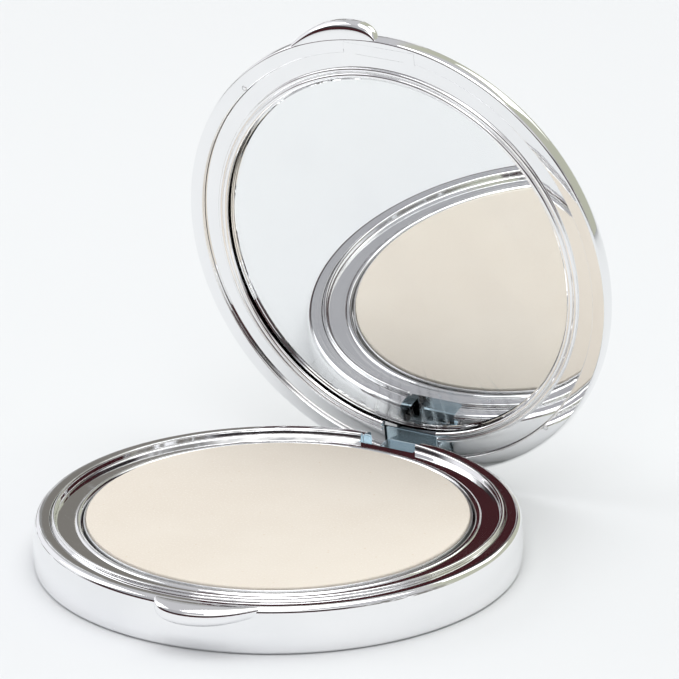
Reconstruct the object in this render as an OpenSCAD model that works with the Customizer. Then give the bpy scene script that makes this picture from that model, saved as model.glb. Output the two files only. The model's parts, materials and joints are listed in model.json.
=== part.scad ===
// Round powder compact: a low base that holds a pan of pressed powder,
// and a domed mirror lid on a hidden hinge at the back.
// +Z is up, the underside of the base is at z = 0 and its centre is the origin.
// The thumb tabs face -Y and the hinge runs along X at the back (+Y).
// Lid pieces are drawn shut and then turned open about the hinge pin.

/* [Base] */
// Radius of the base at its widest
case_r = 37.2; // [36.8:0.1:37.6]
// Height of the base's rim
base_h = 7.5; // [7.4:0.1:7.7]
// Radius of the rounded edge of the base's rim
rim_round = 1.0; // [0.8:0.1:1.2]
// Thickness of the base's floor
floor_t = 1.4; // [1.2:0.1:1.6]

/* [Powder] */
// Outer radius of the powder pan
pan_r = 29.5; // [29.0:0.1:29.6]
// Height of the powder pan
pan_h = 4.0; // [3.8:0.1:4.1]
// Height of the powder's face above the table
powder_z = 7.5; // [7.3:0.1:7.6]

/* [Lid] */
// Radius of the lid at its widest
lid_r = 36.9; // [36.7:0.1:37.1]
// Gap between the two rims when shut
seam_gap = 0.3; // [0.2:0.05:0.35]
// Thickness of the lid's rounded edge
lid_edge = 3.0; // [2.9:0.1:3.2]
// Height of the domed back above the lid's edge
dome_rise = 3.0; // [2.6:0.1:3.4]
// Radius of the mirror glass
mirror_r = 29.85; // [29.6:0.05:29.95]
// Thickness of the mirror glass
mirror_t = 1.1; // [1.0:0.1:1.1]

/* [Hinge] */
// Distance of the hinge pin behind the centre
hinge_y = 34.7; // [34.6:0.05:34.8]
// Height of the hinge pin
hinge_z = 2.0; // [1.95:0.05:2.05]
// Radius of the hinge pin
pin_r = 0.8; // [0.7:0.05:0.8]
// Half the width of the hinge arm
arm_w = 4.6; // [4.2:0.1:4.8]
// How far the lid stands open
lid_open = 82.5; // [0:0.5:86]

/* [Hidden] */
fine = 0.01;           // overlap that keeps cuts clean

// base shell
wall_in_r = 35.8;      // inside of the side wall
flange_r = 34.6;       // inside of the rim's inward lip
flange_z = 5.7;        // underside of that lip
wall_bulge = 24;       // radius of the side wall's slight belly
foot_round = 0.7;      // radius round the bottom edge
rib_r = 21;            // support rib under the deck
rib_t = 1.2;
deck_z = 2.2;          // underside of the deck's floor
slot_w = arm_w + 0.25; // half width of the hinge slot
slot_y = 32.6;         // front wall of the hinge slot
lug_w = slot_w + 2.6;  // outer face of the hinge lugs
lug_y = slot_y - 1.2;  // front of the hinge lugs
lug_top = 5.2;
lug_low = 0.2;
saddle_w = lug_w - 0.4; // end of the saddle that the pin drops into
relief_r = 5.52;       // the rim behind the pin is rounded about it
relief_w = 13;
label_r = 24;
label_t = 0.15;
label_gap = 0.1;

// deck
deck_r = 34.5;
ridge_r = 0.28;        // half width of the raised ridge
ridge_z = 8.02;        // crest of that ridge
shelf_z = 6.9;         // flat shelf
shelf_in = 31.0;       // where the lip round the pan meets the shelf
lip_r = 0.6;           // that lip is a half round
lip_z = 6.55;
shelf_out = 33.7;      // where the shelf meets the ridge
shelf_round = 0.3;     // rounding in that corner
well_r = pan_r + 0.25;
seat_z = 3.05;         // top of the deck's floor
glue_r = 22;
glue_t = 0.12;
pan_t = 0.35;
pan_z = seat_z + glue_t;
cake_r = pan_r - pan_t;
cake_ease = 0.25;      // rounding of the cake's edge
finger_w = saddle_w - slot_w - 0.2; // fingers that close the pin's saddles

// lid, drawn shut
rim_z = base_h + seam_gap;
edge_r = lid_edge / 2; // rounding of the edge towards the back
edge_z = rim_z + edge_r;
side_r = 8;            // belly of the edge's side below that
nose_r = 0.4;          // rounding where the side meets the rim's face
nose_at = lid_r - side_r + sqrt(side_r * side_r - (edge_r - nose_r) * (edge_r - nose_r)) - nose_r;
dome_top = rim_z + lid_edge + dome_rise;
dome_in = lid_r - edge_r;
dome_r = (dome_in * dome_in + dome_rise * dome_rise) / (2 * dome_rise);
dome_t = 1.0;
dome_in_r = 31;        // radius of the hollow under the dome
bore_r = 34.45;        // inside of the lid's rim
land_z = rim_z + 0.6;  // the frame's flat land
bead_in = 30.1;        // bead round the mirror
bead_out = 31.9;
bead_z = 7.75;         // crest of the bead
bead_nose = 0.45;      // its inner side is a tight round over a short wall
bead_at = bead_in + bead_nose;
step_at = 31.45;       // a second, lower bead beside it
step_r = 0.42;
step_z = 8.35;
glass_z = rim_z + 0.7; // face of the mirror
silver_t = 0.08;
tape_r = mirror_r - 0.2;
tape_t = 0.3;
tray_z = glass_z + mirror_t + silver_t + tape_t;
tray_t = 0.5;
tray_top = tray_z + tray_t;
pocket_y = 30.4;       // the frame is open in front of the arm from here back
knuckle_r = 1.75;
arm_front = hinge_y - knuckle_r;
arm_back_r = 36.6;     // the arm's outer face follows the case
arm_gap = 0.2;         // beside the arm, in the frame and the bead
bridge = 0.9;          // thickness of the lid's edge that closes over the arm
foot_z = 8.55;         // the arm's foot fills the pocket level with the mirror
foot_t = 1.7;
catch_w = 6.2;
catch_t = 1.4;
catch_out = bore_r + 1.3; // outer face of the catch's recess
catch_in = bore_r - 0.75;
bumper_r = 0.42;
bumper_ring = 34.95;
bumper_h = 1.12;
bumper_at = [45, 225]; // angles of the two bumpers
base_tab_z = base_h - 1.55; // middle of the base's thumb tab

// Thumb tab: a teardrop of spheres, [angle, outermost radius, sphere radius]
TAB = [[3.6, 38.7, 1.45], [7, 39.3, 1.5], [11.6, 39.5, 1.5], [17, 39.0, 1.3],
    [22.5, 38.0, 0.95], [27.5, 37.0, 0.5]];

// a shape turned about the Z axis, from its outline in radius and height
module turned(segments = 180) {
    rotate_extrude($fn = segments) children();
}

// a filled band from one radius to another and one height to another
module band(r0, r1, z0, z1) {
    translate([r0, z0]) square([r1 - r0, z1 - z0]);
}

// a block given by its low and high corners
module block(low, high) {
    translate(low) cube(high - low);
}

// lid pieces turn open about the hinge pin
module opened() {
    translate([0, hinge_y, hinge_z]) rotate([-lid_open, 0, 0])
        translate([0, -hinge_y, -hinge_z]) children();
}

// a round rod along X through the hinge axis
module hinge_rod(r, half) {
    translate([-half, hinge_y, hinge_z]) rotate([0, 90, 0])
        cylinder(r = r, h = 2 * half, $fn = 64);
}

// teardrop thumb tab at the front, its tail towards side (1 is +X, -1 is -X)
module thumb_tab(side, z) {
    hull() for (t = TAB)
        rotate([0, 0, -90 + side * t[0]]) translate([t[1] - t[2], 0, z])
            sphere(r = t[2], $fn = 24);
}

// the space that the lid's rear edge sweeps as it turns about the pin
module rear_relief() {
    difference() {
        block([-relief_w, hinge_y, hinge_z], [relief_w, hinge_y + 5, base_h + 2]);
        hinge_rod(relief_r, relief_w + 1);
    }
}

// the slot that the hinge arm stands in
module hinge_slot() {
    block([-slot_w, slot_y, -1], [slot_w, case_r + 3, base_h + 2]);
}

// the outside of the base: a shallow drum with a slight belly and rounded edges
module base_outline() {
    belly = case_r - wall_bulge;
    intersection() {
        union() {
            band(0, case_r, foot_round, base_h - rim_round);
            band(0, case_r - rim_round, base_h - rim_round - fine, base_h);
            translate([case_r - rim_round, base_h - rim_round]) circle(r = rim_round, $fn = 96);
            band(0, case_r - foot_round, 0, foot_round + fine);
            translate([case_r - foot_round, foot_round]) circle(r = foot_round, $fn = 96);
        }
        union() {
            translate([belly, base_h / 2 - 0.4]) circle(r = wall_bulge, $fn = 360);
            band(0, belly, -1, base_h + 1);
        }
    }
}

// base shell: side wall, floor, rim, hinge lugs and thumb tab, moulded in one
module base_shell() color([0.86, 0.87, 0.89]) {
    difference() {
        union() {
            difference() {
                turned() base_outline();
                turned() {
                    band(0, wall_in_r, floor_t, flange_z);
                    band(0, flange_r, flange_z - fine, base_h + 1);
                    band(0, label_r + label_gap, -1, label_t);
                }
            }
            intersection() {
                block([-lug_w, lug_y, lug_low], [lug_w, case_r, lug_top]);
                translate([0, 0, lug_low]) cylinder(r = case_r - 0.5, h = base_h, $fn = 180);
            }
            thumb_tab(1, base_tab_z);
        }
        hinge_slot();
        rear_relief();
        translate([0, 0, floor_t]) cylinder(r = lug_y, h = base_h, $fn = 180);
        hinge_rod(pin_r, saddle_w);
        block([-saddle_w, hinge_y - pin_r, hinge_z], [saddle_w, hinge_y + pin_r, lug_top + fine]);
    }
    turned() band(rib_r - rib_t / 2, rib_r + rib_t / 2, floor_t - fine, deck_z);
}

// deck: the plated ring and floor that hold the pan and trap the hinge pin
module base_deck() color([0.80, 0.81, 0.83]) {
    ridge_out = shelf_out + 2 * ridge_r;
    difference() {
        union() {
            turned() difference() {
                union() {
                    band(0, shelf_in, deck_z, shelf_z);
                    translate([(well_r + shelf_in) / 2, lip_z]) circle(r = lip_r, $fn = 96);
                    band(shelf_in - fine, deck_r, lug_top + 0.1, ridge_z - ridge_r);
                    translate([shelf_out + ridge_r, ridge_z - ridge_r]) circle(r = ridge_r, $fn = 64);
                }
                band(0, well_r, seat_z, base_h + 2);
                band(shelf_in, shelf_out - shelf_round, shelf_z, base_h + 3);
                band(shelf_in, shelf_out, shelf_z + shelf_round, base_h + 3);
                translate([shelf_out - shelf_round, shelf_z + shelf_round])
                    circle(r = shelf_round, $fn = 64);
                band(ridge_out, deck_r + 1, base_h - 0.02, base_h + 2);
            }
            // fingers that close the pin's saddles
            for (low = [-saddle_w + 0.1, slot_w + 0.1])
                block([low, hinge_y - pin_r + 0.05, hinge_z],
                    [low + finger_w, hinge_y - 0.25, lug_top + 0.3]);
        }
        hinge_slot();
        rear_relief();
        hinge_rod(pin_r, lug_w);
    }
}

// blank paper label, flush in its recess under the base
module base_label() color([0.93, 0.93, 0.92])
    cylinder(r = label_r, h = label_t, $fn = 128);

// powder pan: a shallow pressed aluminium dish
module powder_pan() color([0.78, 0.79, 0.80])
    turned() {
        band(0, pan_r, pan_z, pan_z + pan_t);
        band(cake_r, pan_r, pan_z, pan_z + pan_h);
    }

// pressed powder, its edge eased where the press die lifted
module powder_cake() color([0.93, 0.88, 0.80])
    turned() {
        band(0, cake_r, pan_z + pan_t, powder_z - cake_ease);
        band(0, cake_r - cake_ease, powder_z - cake_ease - fine, powder_z);
        translate([cake_r - cake_ease, powder_z - cake_ease]) circle(r = cake_ease, $fn = 48);
    }

// adhesive that holds the pan down
module pan_adhesive() color([0.85, 0.84, 0.72])
    translate([0, 0, seat_z]) cylinder(r = glue_r, h = glue_t, $fn = 96);

// hinge pin, lying in the saddles of the base shell
module hinge_pin() color([0.66, 0.67, 0.69])
    hinge_rod(pin_r, saddle_w - 0.1);

// hinge arm: the knuckle on the pin, the web and the foot plate under the lid's dome
module hinge_arm() color([0.45, 0.58, 0.66])
    opened() difference() {
        union() {
            hinge_rod(knuckle_r, arm_w);
            intersection() {
                block([-arm_w, arm_front, hinge_z], [arm_w, case_r, foot_z + foot_t]);
                cylinder(r = arm_back_r, h = 20, $fn = 180);
            }
            block([-arm_w, pocket_y + 0.3, foot_z], [arm_w, arm_front + 1, foot_z + foot_t]);
        }
        hinge_rod(pin_r + 0.06, arm_w + 1);
        // the lid's edge closes over the top of the web
        block([-arm_w - 1, bore_r + bridge, rim_z + bridge], [arm_w + 1, case_r + 1, 20]);
    }

// the lid's edge: a flat rim, a tight corner, a slightly bellied side and a round to the back
module lid_edge_outline() {
    band(0, dome_in, rim_z, rim_z + lid_edge);
    band(0, nose_at, rim_z, edge_z);
    translate([nose_at, rim_z + nose_r]) circle(r = nose_r, $fn = 96);
    intersection() {
        band(nose_at - fine, lid_r, rim_z + nose_r, edge_z);
        translate([lid_r - side_r, edge_z]) circle(r = side_r, $fn = 360);
    }
    translate([dome_in, edge_z]) circle(r = edge_r, $fn = 96);
}

// lid shell: domed back, rounded edge and thumb tab
module lid_shell() color([0.86, 0.87, 0.89])
    opened() difference() {
        union() {
            turned() {
                lid_edge_outline();
                intersection() {
                    translate([0, dome_top - dome_r]) circle(r = dome_r, $fn = 1080);
                    band(0, dome_in, rim_z + lid_edge - fine, dome_top + 1);
                }
            }
            thumb_tab(-1, edge_z);
        }
        turned() {
            band(0, bore_r, rim_z - 1, tray_top + 0.02);
            intersection() {
                translate([0, dome_top - dome_r]) circle(r = dome_r - dome_t, $fn = 1080);
                band(0, dome_in_r, tray_z, dome_top);
            }
        }
        // notch for the arm's web
        intersection() {
            block([-arm_w, arm_front, rim_z - 1], [arm_w, bore_r + bridge, foot_z + foot_t]);
            cylinder(r = case_r + 1, h = 20, $fn = 180);
        }
        block([-arm_w, bore_r, rim_z - 1], [arm_w, case_r + 1, rim_z + bridge]);
        block([-catch_w, -catch_out, rim_z - 1], [catch_w, -bore_r + 2, rim_z + catch_t]);
        for (a = bumper_at)
            rotate([0, 0, a]) translate([bumper_ring, 0, rim_z - 1])
                cylinder(r = bumper_r, h = 2, $fn = 48);
    }

// lid frame: the tray that carries the mirror, with a flat land round it
module lid_frame() color([0.80, 0.81, 0.83])
    opened() difference() {
        turned() {
            band(bead_in, bore_r - 0.05, land_z, tray_top);
            band(0, bead_in + fine, tray_z, tray_top);
        }
        // pocket in front of the hinge arm, and room for its foot and web
        block([-arm_w - arm_gap, pocket_y, rim_z - 1], [arm_w + arm_gap, case_r, 20]);
        block([-catch_w, -case_r, rim_z - 1], [catch_w, -catch_in, rim_z + catch_t]);
    }

// catch plate: fills the step at the front of the lid and carries the snap nib
module lid_catch() color([0.80, 0.81, 0.83])
    opened() {
        nib_r = shelf_out + 2 * ridge_r + 0.03;
        difference() {
            block([-catch_w + 0.03, -catch_out + 0.03, rim_z + 0.02],
                [catch_w - 0.03, -catch_in - 0.03, rim_z + catch_t]);
            turned() band(0, nib_r, rim_z - 1, land_z - 0.02);
        }
        // nib that snaps past the ridge
        intersection() {
            turned() translate([nib_r + 0.08, rim_z + 0.2]) circle(r = 0.12, $fn = 32);
            block([-2.5, -case_r, rim_z - 1], [2.5, -30, rim_z + 1]);
        }
    }

// two pips that meet the base's rim
module lid_bumpers() color([0.88, 0.89, 0.90])
    opened() for (a = bumper_at)
        rotate([0, 0, a]) translate([bumper_ring, 0, rim_z + 1 - bumper_h])
            cylinder(r = bumper_r, h = bumper_h, $fn = 48);

// bead that rings the mirror, a narrow gap away from its edge, open at the hinge pocket
module mirror_bezel() color([0.90, 0.91, 0.92])
    opened() difference() {
        turned() difference() {
            union() {
                band(bead_in, bead_at + fine, bead_z + bead_nose, land_z);
                translate([bead_at, bead_z + bead_nose]) circle(r = bead_nose, $fn = 96);
                band(bead_at, step_at, bead_z + bead_nose, land_z);
                translate([step_at, step_z]) circle(r = step_r, $fn = 96);
            }
            band(bead_in - 1, bead_out + 1, land_z, land_z + 2);
        }
        block([-arm_w - arm_gap, pocket_y - 1, rim_z - 1], [arm_w + arm_gap, case_r, 20]);
    }

// mirror: glass, its silvered and painted back, and the tape behind it
module mirror_glass() color([0.80, 0.83, 0.85])
    opened() translate([0, 0, glass_z]) cylinder(r = mirror_r, h = mirror_t, $fn = 180);

module mirror_silvering() color([0.55, 0.56, 0.58])
    opened() translate([0, 0, glass_z + mirror_t]) cylinder(r = mirror_r, h = silver_t, $fn = 180);

module mirror_tape() color([0.02, 0.02, 0.02])
    opened() translate([0, 0, glass_z + mirror_t + silver_t])
        cylinder(r = tape_r, h = tape_t, $fn = 180);

base_shell();
base_deck();
base_label();
powder_pan();
powder_cake();
pan_adhesive();
hinge_pin();
hinge_arm();
lid_shell();
lid_frame();
lid_catch();
lid_bumpers();
mirror_bezel();
mirror_glass();
mirror_silvering();
mirror_tape();
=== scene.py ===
"""Round powder compact, standing open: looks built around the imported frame. Metres, +Z up."""
import json
import math

import bmesh
import bpy
import numpy as np
from mathutils import Matrix, Vector


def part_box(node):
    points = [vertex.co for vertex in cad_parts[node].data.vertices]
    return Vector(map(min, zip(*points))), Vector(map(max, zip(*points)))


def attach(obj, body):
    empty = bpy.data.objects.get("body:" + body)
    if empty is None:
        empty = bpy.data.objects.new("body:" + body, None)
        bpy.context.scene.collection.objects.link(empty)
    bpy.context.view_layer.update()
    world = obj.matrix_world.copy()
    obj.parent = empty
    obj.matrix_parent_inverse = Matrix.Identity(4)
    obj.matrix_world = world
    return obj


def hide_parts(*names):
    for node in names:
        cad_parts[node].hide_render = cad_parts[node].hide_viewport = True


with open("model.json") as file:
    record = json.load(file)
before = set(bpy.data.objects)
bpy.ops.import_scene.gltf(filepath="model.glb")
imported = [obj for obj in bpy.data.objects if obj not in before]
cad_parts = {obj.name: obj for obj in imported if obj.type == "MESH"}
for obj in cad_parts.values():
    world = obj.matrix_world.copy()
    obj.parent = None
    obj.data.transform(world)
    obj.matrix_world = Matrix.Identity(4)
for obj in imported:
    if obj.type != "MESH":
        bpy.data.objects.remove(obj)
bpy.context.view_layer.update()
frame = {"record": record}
MM = 0.001

# ---------------------------------------------------------------- view
# A long lens from the front right, looking down a little on the powder and into the mirror.
CAMERA_AZIMUTH = math.radians(30.49)
CAMERA_ELEVATION = math.radians(20.79)
CAMERA_ROLL = math.radians(-0.56)
CAMERA_DISTANCE = 1.0848
CAMERA_TARGET = Vector((-0.0049, 0.0272, 0.0257))
CAMERA_LENS = 373.4


def aimed_camera():
    """A camera whose back axis points from the target along azimuth and elevation, then rolled."""
    back = Vector((
        math.sin(CAMERA_AZIMUTH) * math.cos(CAMERA_ELEVATION),
        -math.cos(CAMERA_AZIMUTH) * math.cos(CAMERA_ELEVATION),
        math.sin(CAMERA_ELEVATION),
    ))
    right = (-back).cross(Vector((0, 0, 1))).normalized()
    up = right.cross(-back)
    c, s = math.cos(CAMERA_ROLL), math.sin(CAMERA_ROLL)
    right, up = right * c + up * s, up * c - right * s
    data = bpy.data.cameras.new("camera")
    data.lens = CAMERA_LENS
    data.sensor_width = 36
    data.clip_start = 0.01
    data.clip_end = 20
    camera = bpy.data.objects.new("camera", data)
    turn = Matrix((right, up, back)).transposed().to_4x4()
    camera.matrix_world = Matrix.Translation(CAMERA_TARGET + back * CAMERA_DISTANCE) @ turn
    bpy.context.collection.objects.link(camera)
    bpy.context.scene.camera = camera


aimed_camera()
bpy.context.scene.view_settings.view_transform = "Standard"

# ---------------------------------------------------------------- table and studio
# A pale matt table, soft panels under a grey ceiling, a white wall at the left, an olive one
# behind, and the dark end of the room low in front, which the bright plating picks up.


def linked(collection, name, mesh):
    """A new object that shows this mesh, at the origin and unturned."""
    piece = bpy.data.objects.new(name, mesh)
    collection.objects.link(piece)
    return piece


def pale_table():
    """A flat square under the object, of slightly uneven off-white."""
    half = 4.0
    mesh = bpy.data.meshes.new("table")
    mesh.from_pydata([(-half, -half, 0), (half, -half, 0), (half, half, 0), (-half, half, 0)],
                     [], [(0, 1, 2, 3)])
    material = bpy.data.materials.new("table_white")
    material.use_nodes = True
    nodes, links = material.node_tree.nodes, material.node_tree.links
    shader = nodes["Principled BSDF"]
    shader.inputs["Roughness"].default_value = 0.75
    shader.inputs["Specular IOR Level"].default_value = 0.2
    place = nodes.new("ShaderNodeTexCoord")
    clouds = nodes.new("ShaderNodeTexNoise")
    clouds.inputs["Scale"].default_value = 3.0
    ramp = nodes.new("ShaderNodeValToRGB")
    ramp.color_ramp.elements[0].color = (0.745, 0.760, 0.770, 1)
    ramp.color_ramp.elements[1].color = (0.775, 0.790, 0.800, 1)
    links.new(place.outputs["Object"], clouds.inputs["Vector"])
    links.new(clouds.outputs["Fac"], ramp.inputs["Fac"])
    links.new(ramp.outputs["Color"], shader.inputs["Base Color"])
    mesh.materials.append(material)
    linked(bpy.context.collection, "table", mesh)


def soft_light(name, place, target, size, watts):
    """A square area light at place, facing target."""
    data = bpy.data.lights.new(name, "AREA")
    data.shape = "SQUARE"
    data.size = size
    data.energy = watts
    light = bpy.data.objects.new(name, data)
    light.location = place
    light.rotation_euler = (Vector(target) - Vector(place)).to_track_quat("-Z", "Y").to_euler()
    bpy.context.collection.objects.link(light)


def smooth_mask(tree, value, low, high):
    """0 below low, 1 above high, eased between (either may be the larger)."""
    node = tree.nodes.new("ShaderNodeMapRange")
    node.interpolation_type = "SMOOTHSTEP"
    node.inputs["From Min"].default_value = low
    node.inputs["From Max"].default_value = high
    tree.links.new(value, node.inputs["Value"])
    return node.outputs["Result"]


def product(tree, *values):
    """The product of several masks."""
    total = values[0]
    for value in values[1:]:
        node = tree.nodes.new("ShaderNodeMath")
        node.operation = "MULTIPLY"
        tree.links.new(total, node.inputs[0])
        tree.links.new(value, node.inputs[1])
        total = node.outputs[0]
    return total


def blended(tree, mask, under, over):
    """Colour under where the mask is 0 and colour over where it is 1."""
    node = tree.nodes.new("ShaderNodeMix")
    node.data_type = "RGBA"
    tree.links.new(mask, node.inputs["Factor"])
    for socket, colour in ((node.inputs[6], under), (node.inputs[7], over)):
        if isinstance(colour, tuple):
            socket.default_value = (*colour, 1)
        else:
            tree.links.new(colour, socket)
    return node.outputs[2]


def studio_world():
    """A room by direction: grey overhead, olive behind at the right, white at the left, a dark
    low front with a bright strip above it, and patches of furniture round the horizon."""
    world = bpy.data.worlds.new("studio")
    bpy.context.scene.world = world
    world.use_nodes = True
    tree = world.node_tree
    nodes, links = tree.nodes, tree.links
    place = nodes.new("ShaderNodeTexCoord")
    split = nodes.new("ShaderNodeSeparateXYZ")
    links.new(place.outputs["Generated"], split.inputs[0])
    x, y, z = split.outputs
    patches = nodes.new("ShaderNodeTexNoise")
    patches.inputs["Scale"].default_value = 6.5
    patches.inputs["Detail"].default_value = 3
    patches.inputs["Distortion"].default_value = 0.5
    links.new(place.outputs["Generated"], patches.inputs["Vector"])
    fog = patches.outputs["Fac"]
    low = smooth_mask(tree, z, 0.50, 0.42)
    colour = blended(tree, smooth_mask(tree, z, 0.42, 0.60), (0.27, 0.27, 0.265),
                     (0.52, 0.52, 0.54))
    colour = blended(tree, product(tree, smooth_mask(tree, fog, 0.50, 0.54), low), colour,
                     (0.19, 0.18, 0.165))
    colour = blended(tree, product(tree, smooth_mask(tree, fog, 0.46, 0.43), low), colour,
                     (0.95, 0.96, 0.99))
    behind = product(tree, smooth_mask(tree, y, 0.25, 0.5), smooth_mask(tree, x, -0.42, -0.28),
                     smooth_mask(tree, z, 0.84, 0.76))
    colour = blended(tree, behind, colour, (0.46, 0.47, 0.385))
    left = product(tree, smooth_mask(tree, x, -0.60, -0.75), smooth_mask(tree, z, 0.05, 0.12))
    colour = blended(tree, left, colour, (0.85, 0.85, 0.88))
    facing = smooth_mask(tree, y, -0.25, -0.50)
    middle = product(tree, facing, smooth_mask(tree, z, 0.86, 0.80))
    colour = blended(tree, middle, colour, (0.42, 0.42, 0.44))
    strip = product(tree, facing, smooth_mask(tree, z, 0.44, 0.48),
                    smooth_mask(tree, z, 0.64, 0.60), smooth_mask(tree, x, -0.25, -0.15))
    colour = blended(tree, strip, colour, (1.10, 1.09, 1.07))
    front = product(tree, facing, smooth_mask(tree, z, 0.44, 0.38))
    dark = blended(tree, smooth_mask(tree, z, 0.20, 0.27), (0.052, 0.016, 0.019),
                   (0.040, 0.036, 0.038))
    colour = blended(tree, front, colour, dark)
    links.new(colour, nodes["Background"].inputs["Color"])
    nodes["Background"].inputs["Strength"].default_value = 1.12


pale_table()
studio_world()
soft_light("overhead", (0.1, 0.0, 1.5), (0, 0, 0), 1.3, 12.5)
soft_light("left_panel", (-1.1, -0.2, 0.9), (0, 0, 0.02), 0.8, 2.6)
soft_light("front_panel", (0.35, -0.75, 1.1), (0, 0, 0.02), 0.6, 2.2)
soft_light("rear_panel", (0.3, 1.2, 1.0), (0, 0.02, 0.02), 0.7, 2.2)

# ---------------------------------------------------------------- base shell
# One plated ABS moulding: floor, bellied side wall, rounded rim, hinge lugs and thumb tab.
# The slot for the hinge arm is cut through the back, and behind the pin the rim is relieved.
collection = bpy.context.collection
hinge = frame["record"]["behaviour"]["joints"][0]
HINGE_Y, HINGE_Z = hinge["pos_m"][1] / MM, hinge["pos_m"][2] / MM
TURN = 384  # steps round the case
CASE_R, BASE_H = 37.2, 7.5
RIM_IN, RIM_ROUND, FOOT_ROUND = 34.6, 1.0, 0.7
BELLY_R, BELLY_Z = 24.0, 3.35
SLOT_W, SLOT_Y = 4.85, 32.6
RELIEF_R, RELIEF_W = 5.52, 13.0
LUG_W, LUG_TOP, LUG_Z = 7.45, 5.2, 0.6
LUG_AT, LUG_HALF, LUG_BACK = 6.15, 1.3, 36.2  # each lug's middle, half its width, its back
PIN_R = 0.8
TAB_T = 2.95
LABEL_R, LABEL_T = 24.0, 0.15
FLOOR_Z, LEDGE_Z, WALL_IN = 1.4, 5.7, 35.8


def arc(cr, cz, radius, start, end, steps=10):
    """Points (r, z) on the circle about (cr, cz), from the start to the end angle in degrees."""
    a = np.radians(np.linspace(start, end, steps + 1))
    return np.column_stack([cr + radius * np.cos(a), cz + radius * np.sin(a)])


def outline(*stretches):
    """One line of points from several stretches, less any point that repeats the one before."""
    points = np.vstack([np.atleast_2d(np.array(s, dtype=float)) for s in stretches])
    keep = np.ones(len(points), dtype=bool)
    keep[1:] = np.linalg.norm(np.diff(points, axis=0), axis=1) > 1e-5
    return points[keep]


def closed(mesh, sharp=30):
    """The mesh with its doubles merged and its faces outwards, smooth up to the sharp angle."""
    work = bmesh.new()
    work.from_mesh(mesh)
    bmesh.ops.remove_doubles(work, verts=work.verts, dist=1e-7)
    bmesh.ops.dissolve_degenerate(work, edges=work.edges, dist=1e-8)
    bmesh.ops.recalc_face_normals(work, faces=work.faces)
    work.to_mesh(mesh)
    work.free()
    mesh.shade_smooth()
    mesh.set_sharp_from_angle(angle=math.radians(sharp))
    return mesh


def skin(name, grid, wrap_u=False):
    """A mesh of quads between neighbours in a grid of points (u, v, xyz) in millimetres. Each
    row is a closed loop. The last row joins the first where wrapped; else both are capped."""
    nu, nv = grid.shape[:2]
    index = np.arange(nu * nv).reshape(nu, nv)
    if wrap_u:
        index = np.vstack([index, index[:1]])
    index = np.hstack([index, index[:, :1]])
    quads = np.stack([index[:-1, :-1], index[1:, :-1], index[1:, 1:], index[:-1, 1:]], axis=-1)
    faces = quads.reshape(-1, 4).tolist()
    if not wrap_u:
        faces += [np.arange(nv)[::-1].tolist(), (np.arange(nv) + (nu - 1) * nv).tolist()]
    mesh = bpy.data.meshes.new(name)
    mesh.from_pydata((grid.reshape(-1, 3) * MM).tolist(), [], faces)
    return closed(mesh)


def turned(name, profile, steps=TURN):
    """The closed profile (r, z) carried once round the Z axis."""
    a = np.linspace(0, 2 * math.pi, steps, endpoint=False)[:, None]
    r, z = profile[:, 0], profile[:, 1]
    grid = np.stack([np.cos(a) * r, np.sin(a) * r, np.ones_like(a) * z], axis=-1)
    return skin(name, grid, wrap_u=True)


def prism(name, section, half):
    """The closed section (y, z) carried along X from -half to half."""
    grid = np.stack([np.column_stack([np.full(len(section), x), section]) for x in (-half, half)])
    return skin(name, grid)


def block(low, high):
    """The solid box between two corners."""
    (x0, y0, z0), (x1, y1, z1) = low, high
    return skin("block", np.array([[(x, y0, z0), (x, y1, z0), (x, y1, z1), (x, y0, z1)]
                                   for x in (x0, x1)], dtype=float))


def rod(radius, half, steps=64):
    """A round rod along X about the hinge axis."""
    a = np.linspace(0, 2 * math.pi, steps, endpoint=False)
    section = np.column_stack([HINGE_Y + radius * np.cos(a), HINGE_Z + radius * np.sin(a)])
    return prism("rod", section, half)


def less(mesh, *cutters):
    """The solid mesh with each cutter taken out of it."""
    work = linked(collection, "work", mesh)
    tools = []
    for cutter in cutters:
        tool = linked(collection, "tool", cutter)
        tools.append(tool)
        modifier = work.modifiers.new("cut", "BOOLEAN")
        modifier.object = tool
        modifier.operation = "DIFFERENCE"
        modifier.solver = "EXACT"
    bpy.context.view_layer.update()
    result = bpy.data.meshes.new_from_object(
        work.evaluated_get(bpy.context.evaluated_depsgraph_get()))
    result.name = mesh.name
    for thing in [work] + tools:
        bpy.data.objects.remove(thing)
    return closed(result)


def joined(name, *meshes):
    """One mesh that holds the surfaces of several."""
    work = bmesh.new()
    for mesh in meshes:
        work.from_mesh(mesh)
    result = bpy.data.meshes.new(name)
    work.to_mesh(result)
    work.free()
    result.shade_smooth()
    result.set_sharp_from_angle(angle=math.radians(30))
    return result


def hinge_slot():
    """The slot that the hinge arm stands in."""
    return block((-SLOT_W, SLOT_Y, -1), (SLOT_W, CASE_R + 4, BASE_H + 3))


def rear_relief():
    """What the lid's rear edge sweeps: all behind the pin and outside a circle about it."""
    circle = arc(HINGE_Y, HINGE_Z, RELIEF_R, 90, 0, 32)
    corners = [(HINGE_Y + 8, HINGE_Z), (HINGE_Y + 8, 10), (HINGE_Y, 10)]
    return prism("relief", outline(circle, corners), RELIEF_W)


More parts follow.
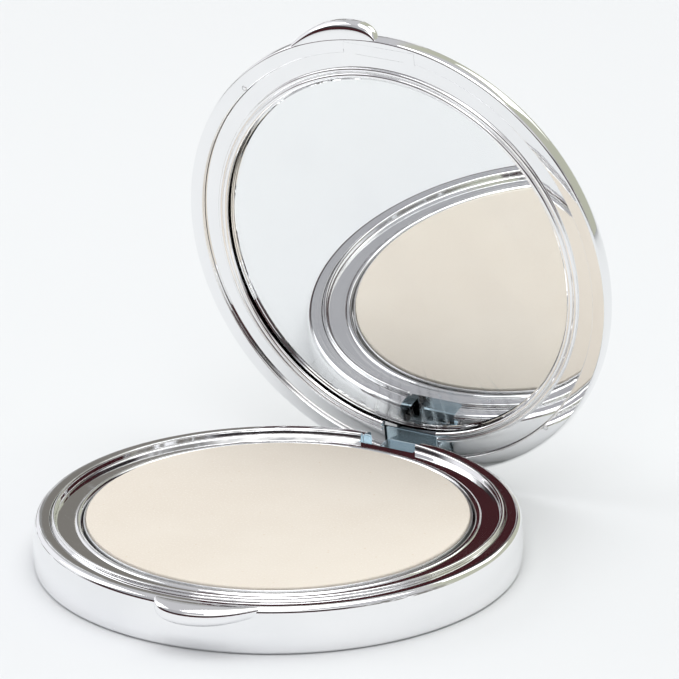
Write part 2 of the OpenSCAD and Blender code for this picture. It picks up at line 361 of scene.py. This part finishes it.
def thumb_tab(name, side, face_z, down, thick):
    """A teardrop tab on the case's edge, its blunt head near -Y and its tail towards side.
    Its reach rises as a quarter superellipse from the head and falls as a power of a raised
    cosine, and its thickness shrinks with a power of the reach.
    Its section is a quarter superellipse of power 3 from the rim's face out to full reach,
    then a quarter ellipse that tucks under, and a flat underside back into the wall."""
    head, peak, tail = 0.9, 10.5, 30.5
    root_r, reach = 36.0, 3.23
    t = np.concatenate([1 - np.cos(np.linspace(0, math.pi / 2, 60)), np.linspace(1, 2, 80)[1:]])
    angle = np.where(t < 1, head + (peak - head) * t, peak + (tail - peak) * (t - 1))
    blunt, taper = 2.4, 0.6
    rise = np.clip(1 - (1 - np.clip(t, 0, 1)) ** blunt, 0, 1) ** (1 / blunt)
    fall = np.clip((1 + np.cos(math.pi * np.clip(t - 1, 0, 1))) / 2, 0, 1) ** taper
    swell = np.clip(rise * fall, 0.01, 1)[:, None]
    widest, tuck, thin = 0.58, 0.3, 0.15
    u = np.sin(np.linspace(0, math.pi / 2, 48))
    under = np.linspace(0, math.pi / 2, 24)[1:]
    out = np.concatenate([u, 1 - tuck * (1 - np.cos(under)), [0.5, 0.2]])
    away = np.concatenate([widest * (1 - (1 - u ** 3) ** (1 / 3)),
                           widest + (1 - widest) * np.sin(under), [1, 1]])
    r = root_r + reach * swell * out
    z = face_z - down * thick * (thin + (1 - thin) * swell ** 0.8) * away
    theta = np.radians(-90 + side * angle)[:, None]
    grid = np.stack([r * np.cos(theta), r * np.sin(theta), z], axis=-1)
    inner_r = root_r - 0.9
    inner = grid[:, [-1, 0]].copy()
    inner[..., :2] *= (inner_r / np.linalg.norm(inner[..., :2], axis=-1))[..., None]
    return skin(name, np.concatenate([grid, inner], axis=1))


def base_profile():
    """Out along the floor, round the foot, up the belly, over the rim and down inside."""
    foot_z, top_z = FOOT_ROUND, BASE_H - RIM_ROUND
    wall_z = np.linspace(foot_z, top_z, 21)
    wall_r = CASE_R - BELLY_R + np.sqrt(BELLY_R ** 2 - (wall_z - BELLY_Z) ** 2)
    wall = np.column_stack([wall_r, wall_z])
    foot = arc(wall[0, 0] - FOOT_ROUND, FOOT_ROUND, FOOT_ROUND, -90, -6, 12)
    rim = arc(wall[-1, 0] - RIM_ROUND, top_z, RIM_ROUND, 7, 90, 18)
    lip = arc(RIM_IN + 0.1, BASE_H - 0.1, 0.1, 90, 180, 5)
    return outline((0, LABEL_T), (LABEL_R, LABEL_T), (LABEL_R + 0.1, 0.0), foot, wall, rim, lip,
                   (RIM_IN, LEDGE_Z), (WALL_IN, LEDGE_Z), (WALL_IN, FLOOR_Z), (0, FLOOR_Z))


def noise(tree, where, scale, detail=2.0, stretch=(1, 1, 1)):
    """The grey value of a noise on the given coordinates, stretched along the axes."""
    nodes, links = tree.nodes, tree.links
    mapping = nodes.new("ShaderNodeMapping")
    mapping.inputs["Scale"].default_value = stretch
    links.new(where, mapping.inputs["Vector"])
    texture = nodes.new("ShaderNodeTexNoise")
    texture.inputs["Scale"].default_value = scale
    texture.inputs["Detail"].default_value = detail
    links.new(mapping.outputs[0], texture.inputs["Vector"])
    return texture.outputs["Fac"]


def group_with(name, inputs, outputs):
    """An empty node group with the named inputs and outputs, as (group, in, out)."""
    group = bpy.data.node_groups.new(name, "ShaderNodeTree")
    for socket, kind, value in inputs:
        made = group.interface.new_socket(socket, in_out="INPUT", socket_type=kind)
        if value is not None:
            made.default_value = value
    for socket, kind in outputs:
        group.interface.new_socket(socket, in_out="OUTPUT", socket_type=kind)
    return group, group.nodes.new("NodeGroupInput"), group.nodes.new("NodeGroupOutput")


def handling_marks():
    """Node group: fine hairline scratches in two directions, and faint finger smudges."""
    group, inside, outside = group_with(
        "handling_marks",
        [("Where", "NodeSocketVector", None), ("Smudge Size", "NodeSocketFloat", 60.0)],
        [("Scratches", "NodeSocketFloat"), ("Smudges", "NodeSocketFloat")])
    where = inside.outputs["Where"]
    lines = []
    for stretch in ((1, 14, 3), (11, 1, 5)):
        lines.append(smooth_mask(group, noise(group, where, 900, 3, stretch), 0.64, 0.72))
    both = group.nodes.new("ShaderNodeMath")
    both.operation = "MAXIMUM"
    group.links.new(lines[0], both.inputs[0])
    group.links.new(lines[1], both.inputs[1])
    group.links.new(both.outputs[0], outside.inputs["Scratches"])
    texture = group.nodes.new("ShaderNodeTexNoise")
    texture.inputs["Detail"].default_value = 5
    texture.inputs["Distortion"].default_value = 0.6
    group.links.new(where, texture.inputs["Vector"])
    group.links.new(inside.outputs["Smudge Size"], texture.inputs["Scale"])
    smudges = smooth_mask(group, texture.outputs["Fac"], 0.52, 0.72)
    group.links.new(smudges, outside.inputs["Smudges"])
    return group


MARKS = handling_marks()


def placed_marks(tree, where, smudge_size):
    """The scratches and smudges of the handling marks group, as two masks."""
    node = tree.nodes.new("ShaderNodeGroup")
    node.node_tree = MARKS
    node.inputs["Smudge Size"].default_value = smudge_size
    tree.links.new(where, node.inputs["Where"])
    return node.outputs["Scratches"], node.outputs["Smudges"]


def bump(tree, height, distance, under=None):
    """A bump of the given height in metres, on top of another normal where there is one."""
    node = tree.nodes.new("ShaderNodeBump")
    node.inputs["Distance"].default_value = distance
    tree.links.new(height, node.inputs["Height"])
    if under is not None:
        tree.links.new(under, node.inputs["Normal"])
    return node.outputs["Normal"]


def fresh_material(name):
    """A new node material, as (material, tree, Principled shader, object coordinates)."""
    material = bpy.data.materials.new(name)
    material.use_nodes = True
    tree = material.node_tree
    place = tree.nodes.new("ShaderNodeTexCoord")
    return material, tree, tree.nodes["Principled BSDF"], place.outputs["Object"]


def ramp(tree, value, low, high, low_colour, high_colour):
    """A colour that goes from one to the other as the value goes from low to high."""
    return blended(tree, smooth_mask(tree, value, low, high), low_colour, high_colour)


def between(tree, value, low, high):
    """The value 0 to 1 mapped to the range low to high."""
    node = tree.nodes.new("ShaderNodeMapRange")
    node.inputs["To Min"].default_value = low
    node.inputs["To Max"].default_value = high
    tree.links.new(value, node.inputs["Value"])
    return node.outputs["Result"]


def summed(tree, *values):
    """The sum of several values."""
    total = values[0]
    for value in values[1:]:
        node = tree.nodes.new("ShaderNodeMath")
        node.operation = "ADD"
        tree.links.new(total, node.inputs[0])
        tree.links.new(value, node.inputs[1])
        total = node.outputs[0]
    return total


def plating(name, pale, dull, roughness, ripple, ripple_size=140):
    """Bright plating on moulded plastic: a mirror that the moulding's slow ripple bends,
    with hairline scratches, faint smudges and a slightly uneven tint."""
    material, tree, shader, where = fresh_material(name)
    scratches, smudges = placed_marks(tree, where, 55)
    clouds = noise(tree, where, 45, 3)
    tree.links.new(ramp(tree, clouds, 0.3, 0.7, dull, pale), shader.inputs["Base Color"])
    shader.inputs["Metallic"].default_value = 1.0
    level = summed(tree, between(tree, smudges, roughness, roughness + 0.05),
                   between(tree, scratches, 0, 0.10))
    tree.links.new(level, shader.inputs["Roughness"])
    slow = bump(tree, noise(tree, where, ripple_size, 1.5), ripple)
    peel = bump(tree, noise(tree, where, 1100, 1), 0.0000012, slow)
    tree.links.new(bump(tree, scratches, 0.0000004, peel), shader.inputs["Normal"])
    return material


def shown(name, mesh, material, body, node):
    """Puts a piece in the scene: its material, its body and the node it replaces."""
    mesh.materials.clear()
    mesh.materials.append(material)
    piece = linked(collection, name, mesh)
    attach(piece, body)
    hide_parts(node)


bright_shell = plating("bright_shell", (0.93, 0.93, 0.935), (0.88, 0.885, 0.895), 0.035, 0.00003)

drum = less(turned("base_case", base_profile()), hinge_slot(), rear_relief())


def hinge_lug(side):
    """A block beside the slot, with a saddle for the pin that is open at the top."""
    pin_half = LUG_W - 0.4
    return less(block((side * LUG_AT - LUG_HALF, SLOT_Y - 1.2, LUG_Z),
                      (side * LUG_AT + LUG_HALF, LUG_BACK, LUG_TOP)),
                rod(PIN_R, pin_half), rear_relief(),
                block((-pin_half, HINGE_Y - PIN_R, HINGE_Z), (pin_half, HINGE_Y + PIN_R, LUG_TOP + 1)))


base_tab = thumb_tab("tab", 1, BASE_H - 0.05, 1, TAB_T)
shown("base_case", joined("base_case", drum, hinge_lug(-1), hinge_lug(1), base_tab), bright_shell,
      "base", "base_shell")

# ---------------------------------------------------------------- deck
# A plated ring and floor pressed into the base. A half-round lip rings the pan, a flat shelf
# runs from it to a narrow raised ridge, and a flange outside that meets the base's rim.
WELL_R, LIP_R, LIP_Z = 29.75, 0.6, 6.55
SHELF_IN, SHELF_OUT, SHELF_Z, SHELF_ROUND = 31.0, 33.7, 6.9, 0.3
RIDGE_HALF, RIDGE_Z, DECK_R = 0.28, 8.02, 34.5
DECK_LOW, FLANGE_Z, WELL_Z = 2.2, BASE_H - 0.02, 3.05


def deck_profile():
    """Under the floor, up the outside, over the flange and the ridge, round the corner on to
    the shelf, over the lip and down the wall of the well."""
    ridge = arc(SHELF_OUT + RIDGE_HALF, RIDGE_Z - RIDGE_HALF, RIDGE_HALF, -20, 180, 20)
    corner = arc(SHELF_OUT - SHELF_ROUND, SHELF_Z + SHELF_ROUND, SHELF_ROUND, 0, -90, 12)
    lip = arc((WELL_R + SHELF_IN) / 2, LIP_Z, LIP_R, 35.7, 180, 20)
    return outline((0, DECK_LOW), (DECK_R, DECK_LOW), (DECK_R, FLANGE_Z - 0.04),
                   (DECK_R - 0.04, FLANGE_Z), (SHELF_OUT + 2 * RIDGE_HALF + 0.02, FLANGE_Z),
                   ridge, corner, lip, (WELL_R, WELL_Z), (0, WELL_Z))


bright_deck = plating("bright_deck", (0.93, 0.93, 0.935), (0.885, 0.89, 0.895), 0.03, 0.00006, 190)
deck = less(turned("deck_ring", deck_profile()), hinge_slot(), rear_relief(), rod(PIN_R, LUG_W))
shown("deck_ring", deck, bright_deck, "base", "base_deck")

# ---------------------------------------------------------------- label
# A blank paper label, flush in its recess under the base.


def label_paper():
    """Coated paper: faint fibres, a slight sheen."""
    material, tree, shader, where = fresh_material("label_paper")
    fibres = noise(tree, where, 2600, 4, (1, 3, 1))
    tree.links.new(ramp(tree, fibres, 0.3, 0.7, (0.80, 0.79, 0.77), (0.86, 0.855, 0.84)),
                   shader.inputs["Base Color"])
    tree.links.new(between(tree, fibres, 0.45, 0.6), shader.inputs["Roughness"])
    tree.links.new(bump(tree, fibres, 0.000004), shader.inputs["Normal"])
    return material


def finished(node, material):
    """Gives a CAD node's object this material in every slot."""
    mesh = bpy.data.objects[node].data
    mesh.materials.clear()
    mesh.materials.append(material)


finished("base_label", label_paper())

# ---------------------------------------------------------------- powder pan
# A shallow dish pressed from thin aluminium, its edge turned over a little.
PAN_R, PAN_T, PAN_ROUND = 29.5, 0.35, 0.6
PAN_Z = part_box("powder_pan")[0][2] / MM
PAN_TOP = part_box("powder_pan")[1][2] / MM


def pan_metal():
    """Rolled aluminium: fine parallel lines from the mill and soft scuffs."""
    material, tree, shader, where = fresh_material("pan_metal")
    lines = noise(tree, where, 500, 3, (1, 24, 1))
    tree.links.new(ramp(tree, lines, 0.3, 0.7, (0.62, 0.63, 0.64), (0.76, 0.765, 0.77)),
                   shader.inputs["Base Color"])
    shader.inputs["Metallic"].default_value = 1.0
    tree.links.new(between(tree, lines, 0.22, 0.42), shader.inputs["Roughness"])
    tree.links.new(bump(tree, lines, 0.000003), shader.inputs["Normal"])
    return material


def pan_profile():
    """Under the floor, round the corner, up the wall, over the edge and down inside."""
    round_r, round_z = PAN_R - PAN_ROUND, PAN_Z + PAN_ROUND
    corner = arc(round_r, round_z, PAN_ROUND, -90, 0, 10)
    edge = arc(PAN_R - PAN_T / 2, PAN_TOP - PAN_T / 2, PAN_T / 2, 0, 180, 10)
    inner = arc(round_r, round_z, PAN_ROUND - PAN_T, 0, -90, 6)
    return outline((0, PAN_Z), corner, edge, inner, (0, PAN_Z + PAN_T))


shown("pan_dish", turned("pan_dish", pan_profile(), 256), pan_metal(),
      "base", "powder_pan")

# ---------------------------------------------------------------- pressed powder
# Face powder pressed into the pan under a die: a flat matt cake with an eased, slightly
# crumbled edge and the faint grain of its particles.
CAKE_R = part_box("powder_cake")[1][0] / MM
CAKE_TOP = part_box("powder_cake")[1][2] / MM
CAKE_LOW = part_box("powder_cake")[0][2] / MM


def powder_cake():
    """A disc whose edge rounds over on a small circle. The edge's radius wanders by a few
    hundredths of a millimetre, a sum of sines round the turn, where grains have come away."""
    a = np.linspace(0, 2 * math.pi, TURN, endpoint=False)[:, None]
    ease, depth = 0.22, 0.5
    edge = arc(CAKE_R - ease, CAKE_TOP - ease, ease, 0, 90, 8)
    flat = np.column_stack([np.linspace(CAKE_R - 0.4, 0, 30), np.full(30, CAKE_TOP)])
    profile = outline((0, CAKE_LOW), (CAKE_R - depth, CAKE_LOW), (CAKE_R, CAKE_LOW + depth), edge, flat)
    waves = ((23, 0), (57, 1), (91, 2), (140, 4))
    crumble = 0.012 * sum(np.sin(count * a + phase) for count, phase in waves)
    near = np.clip((profile[:, 0] - CAKE_R + depth) / depth, 0, 1)
    top = profile[:, 1] > CAKE_TOP - 0.3
    r = profile[:, 0] - near * (0.05 + crumble)
    z = np.ones_like(a) * profile[:, 1] - near * 0.4 * np.abs(crumble) * top
    return skin("powder_press", np.stack([np.cos(a) * r, np.sin(a) * r, z], axis=-1), wrap_u=True)


def face_powder():
    """Matt ivory powder: specks of two sizes over slow clouds, with a soft velvet sheen."""
    material, tree, shader, where = fresh_material("face_powder")
    clouds = noise(tree, where, 60, 3)
    grain = noise(tree, where, 3200, 4)
    specks = noise(tree, where, 1500, 2)
    base = ramp(tree, clouds, 0.3, 0.7, (0.745, 0.680, 0.585), (0.775, 0.715, 0.622))
    pale = blended(tree, smooth_mask(tree, grain, 0.5, 0.75), base, (0.82, 0.77, 0.685))
    dark = blended(tree, smooth_mask(tree, specks, 0.70, 0.78), pale, (0.70, 0.60, 0.47))
    tree.links.new(dark, shader.inputs["Base Color"])
    tree.links.new(between(tree, grain, 0.8, 0.95), shader.inputs["Roughness"])
    shader.inputs["Specular IOR Level"].default_value = 0.25
    shader.inputs["Sheen Weight"].default_value = 0.15
    shader.inputs["Sheen Roughness"].default_value = 0.6
    fine = bump(tree, grain, 0.000018)
    tree.links.new(bump(tree, noise(tree, where, 420, 3), 0.00003, fine), shader.inputs["Normal"])
    return material


shown("powder_press", powder_cake(), face_powder(), "base", "powder_cake")

# ---------------------------------------------------------------- adhesive
# A thin disc of pale contact adhesive between the pan and the deck.


def dried_glue():
    """Cream adhesive with the streaks of its spreader."""
    material, tree, shader, where = fresh_material("dried_glue")
    streaks = noise(tree, where, 300, 3, (1, 6, 1))
    tree.links.new(ramp(tree, streaks, 0.3, 0.7, (0.72, 0.68, 0.52), (0.80, 0.77, 0.64)),
                   shader.inputs["Base Color"])
    tree.links.new(between(tree, streaks, 0.35, 0.55), shader.inputs["Roughness"])
    tree.links.new(bump(tree, streaks, 0.00002), shader.inputs["Normal"])
    return material


finished("pan_adhesive", dried_glue())

# ---------------------------------------------------------------- hinge pin
# A cut length of drawn steel wire that lies in the lugs' saddles.


def drawn_steel():
    """Steel wire: lines along its length and a thin film of oil."""
    material, tree, shader, where = fresh_material("drawn_steel")
    lines = noise(tree, where, 700, 3, (0.1, 6, 6))
    tree.links.new(ramp(tree, lines, 0.3, 0.7, (0.46, 0.46, 0.47), (0.60, 0.60, 0.61)),
                   shader.inputs["Base Color"])
    shader.inputs["Metallic"].default_value = 1.0
    tree.links.new(between(tree, lines, 0.2, 0.36), shader.inputs["Roughness"])
    tree.links.new(bump(tree, lines, 0.000003), shader.inputs["Normal"])
    return material


finished("hinge_pin", drawn_steel())

# ---------------------------------------------------------------- hinge arm
# A moulded arm with a knuckle on the pin: it stands in the base's slot, closes the gap in
# the lid's rim and spreads into a foot under the dome. Everything of the lid is worked out
# shut and then turned open about the pin.
ARM_W, ARM_FRONT, ARM_BACK_R = 4.6, 32.95, 36.6
FOOT_Y, FOOT_Z, FOOT_TOP, FOOT_BACK = 30.7, 8.55, 10.25, 35.2
STEP_UNDER = 8.7  # where the arm narrows under the lid's edge
OPEN_ANGLE = math.radians(-hinge["range_deg"][0])


def opened(mesh):
    """Turns a mesh that was worked out shut about the hinge pin, to where the lid stands."""
    pin = Vector((0, HINGE_Y * MM, HINGE_Z * MM))
    mesh.transform(Matrix.Translation(pin) @ Matrix.Rotation(-OPEN_ANGLE, 4, "X")
                   @ Matrix.Translation(-pin))
    return mesh


def eased(mesh, width, segments=3):
    """The mesh with its sharp edges rounded over."""
    work = linked(collection, "work", mesh)
    modifier = work.modifiers.new("ease", "BEVEL")
    modifier.width = width * MM
    modifier.segments = segments
    modifier.limit_method = "ANGLE"
    modifier.angle_limit = math.radians(40)
    bpy.context.view_layer.update()
    result = bpy.data.meshes.new_from_object(
        work.evaluated_get(bpy.context.evaluated_depsgraph_get()))
    result.name = mesh.name
    bpy.data.objects.remove(work)
    return closed(result, 35)


def arm_shape():
    """A section (y, z) round the knuckle, up the front, round the foot and down the back,
    carried along X. The back follows the case: its y is on a circle about the case's axis."""
    knuckle = arc(HINGE_Y, HINGE_Z, HINGE_Y - ARM_FRONT, 0, -180, 24)
    section = outline(knuckle, (ARM_FRONT, 5), (ARM_FRONT, FOOT_Z), (FOOT_Y, FOOT_Z),
                      (FOOT_Y, FOOT_TOP), (FOOT_BACK, FOOT_TOP), (FOOT_BACK, STEP_UNDER),
                      (ARM_BACK_R, STEP_UNDER), (ARM_BACK_R, 5), (ARM_BACK_R, 3.2))
    x = np.linspace(-ARM_W, ARM_W, 15)[:, None]
    back = np.sqrt(ARM_BACK_R ** 2 - x ** 2)
    y = np.minimum(np.ones_like(x) * section[:, 0], back)
    grid = np.stack([x * np.ones_like(y), y, np.ones_like(x) * section[:, 1]], axis=-1)
    return skin("hinge_link", grid)


def arm_plastic():
    """Bright plating on plastic with a pale blue-grey base colour, glossy and faintly drawn along X."""
    material, tree, shader, where = fresh_material("arm_plastic")
    flake = noise(tree, where, 2400, 2)
    drift = noise(tree, where, 160, 2, (0.3, 1, 1))
    base = ramp(tree, drift, 0.35, 0.65, (0.500, 0.640, 0.710), (0.590, 0.710, 0.770))
    tree.links.new(blended(tree, smooth_mask(tree, flake, 0.58, 0.75), base, (0.68, 0.78, 0.82)),
                   shader.inputs["Base Color"])
    shader.inputs["Metallic"].default_value = 0.85
    tree.links.new(between(tree, drift, 0.10, 0.18), shader.inputs["Roughness"])
    tree.links.new(bump(tree, drift, 0.000015), shader.inputs["Normal"])
    return material


shown("hinge_link", opened(less(eased(arm_shape(), 0.22), rod(PIN_R + 0.06, ARM_W + 1))), arm_plastic(),
      "lid", "hinge_arm")

# ---------------------------------------------------------------- lid shell
# The plated ABS lid: a low dome with a fully rounded edge, a bore for the mirror tray,
# a notch for the arm and the matching teardrop thumb tab.
LID_R, LID_RIM, EDGE_R, DOME_TOP = 36.9, 7.8, 1.5, 13.8
SIDE_R, NOSE_R = 8.0, 0.4
BORE_R, LAND_Z, TRAY_Z, TRAY_TOP = 34.45, 8.4, 9.98, 10.48
CATCH_W, CATCH_T, CATCH_OUT, CATCH_IN = 6.2, 1.4, BORE_R + 1.3, BORE_R - 0.75
DOME_T, HOLLOW_R, BRIDGE = 1.0, 31.0, 0.9
BUMPER_AT, BUMPER_RING, BUMPER_R = (45, 225), 34.95, 0.42


def lid_profile():
    """Round a tight corner, up a side on a large circle, over the edge's quarter circle and the
    dome on one great circle that leaves it at the same slope, and back inside down the bore."""
    centre_r, centre_z = LID_R - EDGE_R, LID_RIM + EDGE_R
    nose_z = LID_RIM + NOSE_R
    nose_r = LID_R - SIDE_R + math.sqrt(SIDE_R ** 2 - (EDGE_R - NOSE_R) ** 2) - NOSE_R
    slope = math.degrees(math.asin((EDGE_R - NOSE_R) / SIDE_R))
    leave = 80.4
    edge = outline(arc(nose_r, nose_z, NOSE_R, -90, -slope, 14),
                   arc(LID_R - SIDE_R, centre_z, SIDE_R, -slope * 0.95, 0, 12),
                   arc(centre_r, centre_z, EDGE_R, 4, leave, 26))
    rise = DOME_TOP - edge[-1, 1]
    great = (edge[-1, 0] ** 2 + rise ** 2) / (2 * rise)
    r = np.linspace(edge[-1, 0], 0, 60)[1:]
    dome = np.column_stack([r, DOME_TOP - great + np.sqrt(great ** 2 - r ** 2)])
    hollow = r[::-1][:50] * HOLLOW_R / r[::-1][49]
    hollow_z = DOME_TOP - DOME_T - great + np.sqrt(great ** 2 - hollow ** 2)
    inside = np.column_stack([hollow, hollow_z])
    lip = arc(BORE_R + 0.2, LID_RIM + 0.2, 0.2, 180, 270, 8)
    seat_z = TRAY_TOP + 0.02
    return outline(edge, dome, inside, (HOLLOW_R, seat_z), (BORE_R, seat_z), lip)


def post(radius, at, ring, low, high, steps=48):
    """A round post that stands at the given angle on a ring about the case's axis."""
    a = np.linspace(0, 2 * math.pi, steps, endpoint=False)
    x = ring * math.cos(math.radians(at)) + radius * np.cos(a)
    y = ring * math.sin(math.radians(at)) + radius * np.sin(a)
    return skin("post", np.stack([np.column_stack([x, y, np.full(steps, z)])
                                  for z in (low, high)]))


bright_lid = plating("bright_lid", (0.93, 0.93, 0.935), (0.88, 0.885, 0.89), 0.035, 0.00003)
lid_cup = less(turned("lid_case", lid_profile()),
               block((-ARM_W, ARM_FRONT, LID_RIM - 1), (ARM_W, BORE_R + BRIDGE, FOOT_TOP)),
               block((-ARM_W, BORE_R, LID_RIM - 1), (ARM_W, CASE_R + 1, LID_RIM + BRIDGE)),
               block((-CATCH_W, -CATCH_OUT, LID_RIM - 1), (CATCH_W, -BORE_R + 2, LID_RIM + CATCH_T)),
               *[post(BUMPER_R, at, BUMPER_RING, LID_RIM - 1, LID_RIM + 1) for at in BUMPER_AT])
lid_tab = thumb_tab("tab", -1, LID_RIM + 0.05, -1, TAB_T)
shown("lid_case", opened(joined("lid_case", lid_cup, lid_tab)), bright_lid,
      "lid", "lid_shell")

# ---------------------------------------------------------------- mirror tray
# A plated tray pressed into the lid: its flat land rings the mirror, its floor backs it,
# and it is cut away at the hinge arm and at the catch.
BEAD_IN, POCKET_Y, ARM_GAP = 30.1, 30.4, 0.2


def tray_profile():
    """In over the land, down beside the glass, across the floor and back up outside."""
    outer = arc(BORE_R - 0.17, LAND_Z + 0.12, 0.12, 0, -90, 6)
    return outline(outer, (BEAD_IN, LAND_Z), (BEAD_IN, TRAY_Z), (0, TRAY_Z), (0, TRAY_TOP),
                   (BORE_R - 0.05, TRAY_TOP))


tray = less(turned("mirror_tray", tray_profile()),
            block((-ARM_W - ARM_GAP, POCKET_Y, LID_RIM - 1), (ARM_W + ARM_GAP, CASE_R, 20)),
            block((-CATCH_W, -CASE_R, LID_RIM - 1), (CATCH_W, -CATCH_IN, LID_RIM + CATCH_T)))
bright_inner = plating("bright_inner", (0.93, 0.93, 0.935), (0.88, 0.885, 0.89), 0.03, 0.00004, 110)
shown("mirror_tray", opened(tray), bright_inner, "lid", "lid_frame")

# ---------------------------------------------------------------- catch plate
# A small plated plate that fills the step at the lid's front and carries the snap nib.
finished("lid_catch", bright_inner)

# ---------------------------------------------------------------- bumpers
# Two plated pips on the lid's rim that meet the base's rim when it shuts.


def pip(at):
    """A short post with a rounded crown: its section is a quarter superellipse."""
    crown, radius, top = LID_RIM - 0.12, BUMPER_R - 0.02, LID_RIM + 1
    v = np.linspace(0, math.pi / 2, 12)
    r = radius * np.cos(v) ** 0.6
    z = crown + 0.3 * (1 - np.sin(v) ** 0.7)
    profile = outline(np.column_stack([r, z]), (0, top), (radius, top))
    mesh = turned("pip", profile, 40)
    place = Matrix.Translation((BUMPER_RING * MM, 0, 0))
    mesh.transform(Matrix.Rotation(math.radians(at), 4, "Z") @ place)
    return mesh


shown("rim_pips", opened(joined("rim_pips", *[pip(at) for at in BUMPER_AT])), bright_inner,
      "lid", "lid_bumpers")

# ---------------------------------------------------------------- bead round the mirror
# A plated double bead on the tray's land. It stops on either side of the hinge arm.
BEAD_Z = 7.75
BEAD_NOSE, STEP_AT, STEP_R, STEP_Z = 0.45, 31.45, 0.42, 8.35


def bead_sweep():
    """A section of two half rounds, the outer one lower, with a short inner wall, carried
    about the case's axis from one side of the arm to the other. It shrinks to its foot
    at each end as a quarter circle."""
    middle_r, foot_r, tip = 31, 30.9, 0.35  # tip is the angle in degrees that each end takes
    gap = math.degrees(math.asin((ARM_W + ARM_GAP) / middle_r))
    ends = 1 - np.cos(np.linspace(0, math.pi / 2, 14))
    start, span = 90 + gap, 360 - 2 * gap
    along = np.linspace(0, 1, 420)[1:-1] * (span - 2 * tip)
    t = np.concatenate([ends * tip, tip + along, span - ends[::-1] * tip])
    angle = np.radians(start + t)
    close = np.clip(np.minimum(t, span - t) / tip, 0, 1)
    size = np.sqrt(np.clip(1 - (1 - close) ** 2, 0.0004, 1))[:, None]
    crest = BEAD_IN + BEAD_NOSE
    meet = BEAD_Z + BEAD_NOSE
    section = outline((STEP_AT + STEP_R, LAND_Z), arc(STEP_AT, STEP_Z, STEP_R, -2, -159, 20),
                      arc(crest, meet, BEAD_NOSE, -2, -180, 24), (BEAD_IN, LAND_Z))
    r = foot_r + (section[:, 0] - foot_r) * size
    z = LAND_Z + (section[:, 1] - LAND_Z) * size
    grid = np.stack([r * np.cos(angle)[:, None], r * np.sin(angle)[:, None], z], axis=-1)
    return skin("mirror_bead", grid)


bright_bead = plating("bright_bead", (0.94, 0.94, 0.945), (0.90, 0.90, 0.905), 0.03, 0.00002, 160)
shown("mirror_bead", opened(bead_sweep()), bright_bead, "lid", "mirror_bezel")

# ---------------------------------------------------------------- mirror
# A round of thin float glass with ground edges, silvered behind and held to the
# tray by a disc of foam tape. The tape is coloured near black as painted shade, so that
# the narrow gap between the glass and the bead reads as a dark line.
MIRROR_R, GLASS_Z, GLASS_T = 29.85, 8.5, 1.1


def glass_profile():
    """A disc with a small ground chamfer at both edges."""
    low, high, chamfer = GLASS_Z, GLASS_Z + GLASS_T, 0.12
    return outline((0, low), (MIRROR_R - chamfer, low), (MIRROR_R, low + chamfer),
                   (MIRROR_R, high - chamfer), (MIRROR_R - chamfer, high), (0, high))


def float_glass():
    """Clear glass with the green cast of its iron, and the faintest of smears."""
    material, tree, shader, where = fresh_material("float_glass")
    smudges = placed_marks(tree, where, 35)[1]
    tree.links.new(ramp(tree, smudges, 0, 1, (0.995, 1.0, 0.998), (0.985, 0.99, 0.99)),
                   shader.inputs["Base Color"])
    shader.inputs["Transmission Weight"].default_value = 1.0
    shader.inputs["IOR"].default_value = 1.5
    smears = product(tree, smudges, smudges)
    tree.links.new(between(tree, smears, 0.0, 0.012), shader.inputs["Roughness"])
    return material


def silver_film():
    """Chemical silver under a coat of paint: a near perfect mirror."""
    material, tree, shader, where = fresh_material("silver_film")
    clouds = noise(tree, where, 30, 2)
    tree.links.new(ramp(tree, clouds, 0.3, 0.7, (0.925, 0.93, 0.935), (0.935, 0.94, 0.945)),
                   shader.inputs["Base Color"])
    shader.inputs["Metallic"].default_value = 1.0
    tree.links.new(between(tree, clouds, 0.0, 0.004), shader.inputs["Roughness"])
    return material


def foam_tape():
    """Closed-cell foam: small round pores. It is coloured near black as painted shade, so that
    the gap round the mirror reads as a dark line.
    """
    material, tree, shader, where = fresh_material("foam_tape")
    cells = tree.nodes.new("ShaderNodeTexVoronoi")
    cells.inputs["Scale"].default_value = 2500
    tree.links.new(where, cells.inputs["Vector"])
    pores = cells.outputs["Distance"]
    # painted shade: this near-black colour makes the gap round the mirror read dark
    tree.links.new(ramp(tree, pores, 0.1, 0.6, (0.010, 0.010, 0.011), (0.022, 0.022, 0.023)),
                   shader.inputs["Base Color"])
    tree.links.new(between(tree, pores, 0.8, 0.95), shader.inputs["Roughness"])
    tree.links.new(bump(tree, pores, 0.00005), shader.inputs["Normal"])
    return material


shown("mirror_pane", opened(turned("mirror_pane", glass_profile(), 256)), float_glass(),
      "lid", "mirror_glass")
finished("mirror_silvering", silver_film())
finished("mirror_tape", foam_tape())
